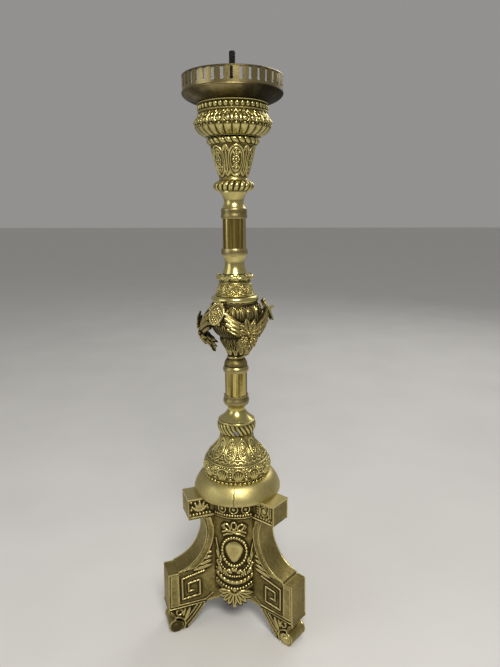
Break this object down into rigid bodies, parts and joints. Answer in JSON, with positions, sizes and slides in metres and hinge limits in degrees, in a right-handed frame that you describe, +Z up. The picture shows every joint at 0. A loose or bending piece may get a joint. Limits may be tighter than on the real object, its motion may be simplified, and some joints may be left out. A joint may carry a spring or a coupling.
{
  "type": "altar candlestick",
  "caption": "Tall altar candlestick: relief tripod base, turned column with an urn and swags, capital and pierced drip pan on a threaded rod.",
  "frame": {"origin": "on the candlestick's axis at floor level", "axes": "+Z up along the tie rod; -Y faces the front centre panel; +X to the right seen from the front"},
  "size_m": [0.1676, 0.1454, 0.623],
  "materials": {
    "brass_relief": "aged stamped brass, dark in the recesses",
    "brass_smooth": "satin worn brass",
    "brass_tube": "drawn brass tube, worn bright",
    "brass_ring": "turned brass ring, dulled",
    "brass_cast": "cast brass ornament, bright on the raised edges",
    "iron": "blackened iron"
  },
  "bodies": {
    "stand": {"acanthus_torus": "brass_relief", "base_flange": "brass_smooth", "base_top_plate": "brass_smooth", "bead_ring": "brass_relief", "bottom_nut": "iron", "bottom_washer": "iron", "capital_bead_collar": "brass_relief", "capital_bowl": "brass_relief", "capital_cone": "brass_relief", "capital_nut": "iron", "capital_washer": "iron", "cartouche_1": "brass_cast", "cartouche_2": "brass_cast", "cartouche_3": "brass_cast", "cartouche_screws": "brass_cast", "centre_panel_1": "brass_relief", "centre_panel_2": "brass_relief", "centre_panel_3": "brass_relief", "garland_1": "brass_cast", "garland_2": "brass_cast", "garland_3": "brass_cast", "leaf_collar": "brass_relief", "leg_1_left_plate": "brass_relief", "leg_1_right_plate": "brass_relief", "leg_2_left_plate": "brass_relief", "leg_2_right_plate": "brass_relief", "leg_3_left_plate": "brass_relief", "leg_3_right_plate": "brass_relief", "leg_strip_1": "brass_smooth", "leg_strip_2": "brass_smooth", "leg_strip_3": "brass_smooth", "lower_bell": "brass_relief", "lower_gadroon_collar": "brass_relief", "lower_neck": "brass_smooth", "lower_tube": "brass_tube", "lower_tube_foot_ring": "brass_ring", "lower_tube_head_ring": "brass_ring", "pendant_1": "brass_cast", "pendant_2": "brass_cast", "pendant_3": "brass_cast", "rope_collar": "brass_relief", "tie_rod": "iron", "upper_gadroon_collar": "brass_relief", "upper_neck": "brass_smooth", "upper_tube": "brass_tube", "upper_tube_foot_ring": "brass_ring", "upper_tube_head_ring": "brass_ring", "urn_bowl": "brass_relief", "urn_cover": "brass_relief", "urn_foot": "brass_relief", "urn_neck": "brass_smooth", "urn_rim_ring": "brass_relief"},
    "bush": {"pan_bush": "brass_smooth"},
    "drip_pan": {"drip_pan_dish": "brass_ring", "drip_pan_gallery": "brass_ring"}
  },
  "joints": [
    {"name": "pan_lift", "type": "slide", "parent": "stand", "child": "bush", "axis": [0, 0, 1], "range_m": [0, 0.06]},
    {"name": "pan_turn", "type": "hinge", "parent": "bush", "child": "drip_pan", "pos_m": [0, 0, 0.576], "axis": [0, 0, 1], "continuous": true}
  ]
}
